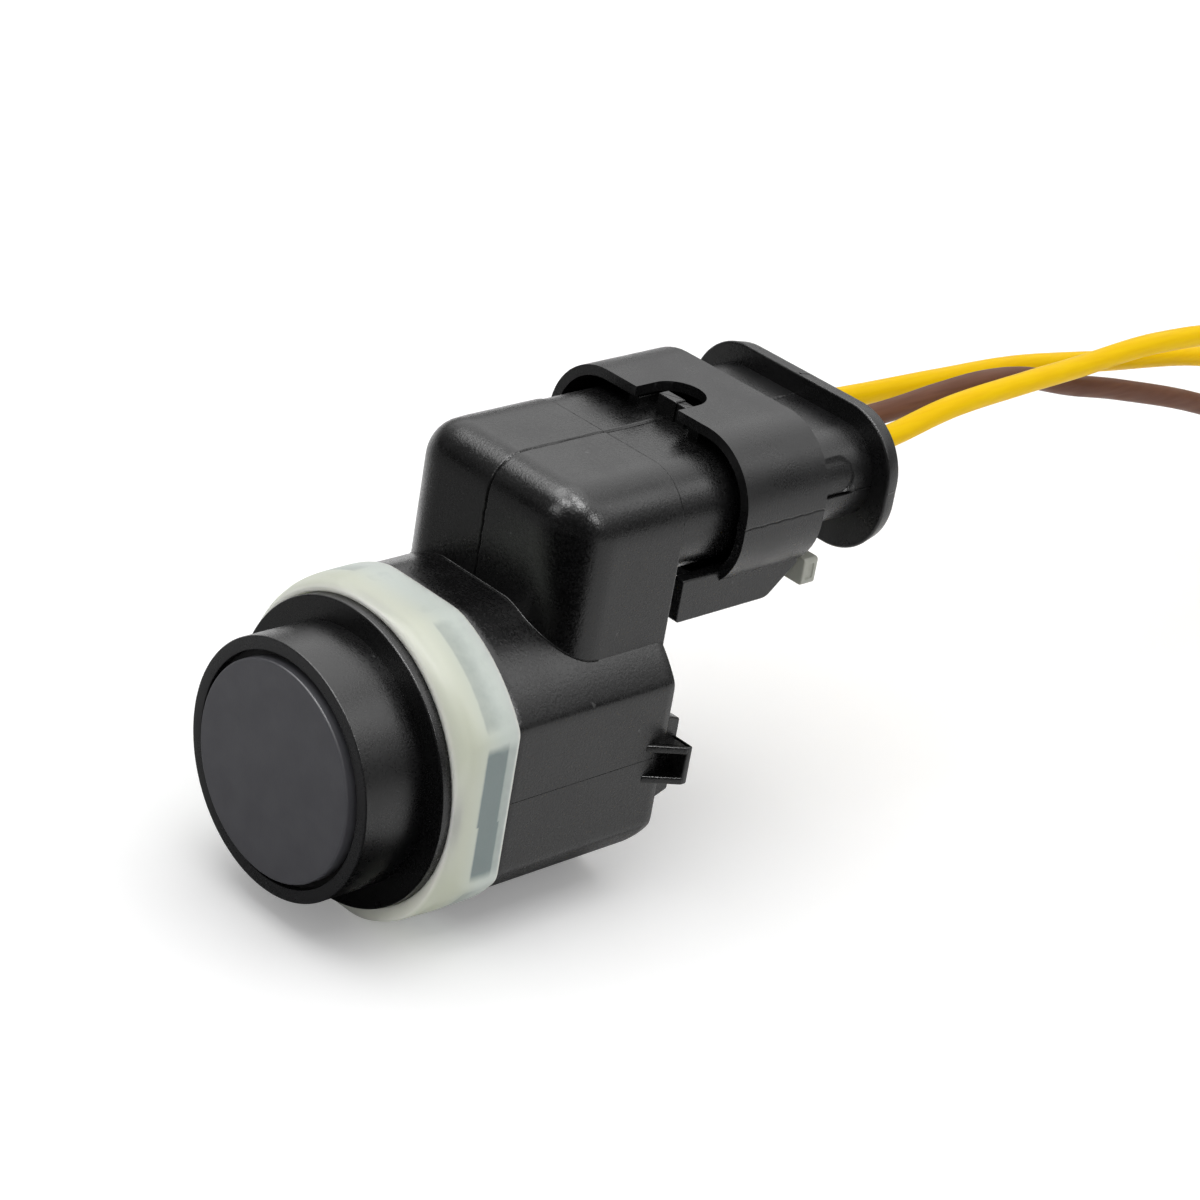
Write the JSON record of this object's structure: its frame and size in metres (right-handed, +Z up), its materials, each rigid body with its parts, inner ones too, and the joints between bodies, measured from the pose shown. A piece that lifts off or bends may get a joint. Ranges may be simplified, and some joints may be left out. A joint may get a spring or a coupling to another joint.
{
  "type": "parking sensor",
  "caption": "Ultrasonic bumper sensor: round nose with a flat membrane, translucent ring, flatted housing with snap lugs, and a raised socket holding a latched plug with bare-ended leads.",
  "frame": {"origin": "on the nose axis, in the plane of the nose rim", "axes": "-Y is the sensing direction, +Y the way the leads leave, +Z up, from the nose axis to the plug"},
  "size_m": [0.0248, 0.1585, 0.0327],
  "materials": {
    "membrane": "satin slate-grey lacquer",
    "black_plastic": "fine spark-eroded texture",
    "milky_ring": "translucent, satin",
    "soft_black": "matt",
    "ceramic": "sintered",
    "board": "solder mask",
    "ferrite": "ground",
    "chip": "moulded",
    "tinned": "tin plated",
    "resin": "cast",
    "plug_plastic": "fine spark-eroded texture",
    "seal": "satin",
    "grey_lock": "satin",
    "yellow_lead": "smooth",
    "brown_lead": "smooth"
  },
  "bodies": {
    "sensor": {"membrane_cup": "membrane", "piezo_disc": "ceramic", "damping_foam": "soft_black", "decoupling_ring": "soft_black", "nose_collar": "black_plastic", "support_ring": "milky_ring", "housing": "black_plastic", "circuit_board": "board", "transformer": "ferrite", "driver_chip": "chip", "filter_capacitor": "ceramic", "piezo_lead_left": "tinned", "piezo_lead_right": "tinned", "contact_pin_left": "tinned", "contact_pin_middle": "tinned", "contact_pin_right": "tinned", "potting": "resin", "plug_housing": "plug_plastic", "interface_seal": "seal", "terminal_left": "tinned", "terminal_middle": "tinned", "terminal_right": "tinned", "wire_seal_left": "seal", "wire_seal_middle": "seal", "wire_seal_right": "seal", "wire_yellow_upper": "yellow_lead", "wire_brown": "brown_lead", "wire_yellow_lower": "yellow_lead"},
    "lock": {"lock_slider": "grey_lock"}
  },
  "joints": [
    {"name": "lock_slide", "type": "slide", "parent": "sensor", "child": "lock", "axis": [0, 1, 0], "range_m": [0, 0.003]}
  ]
}
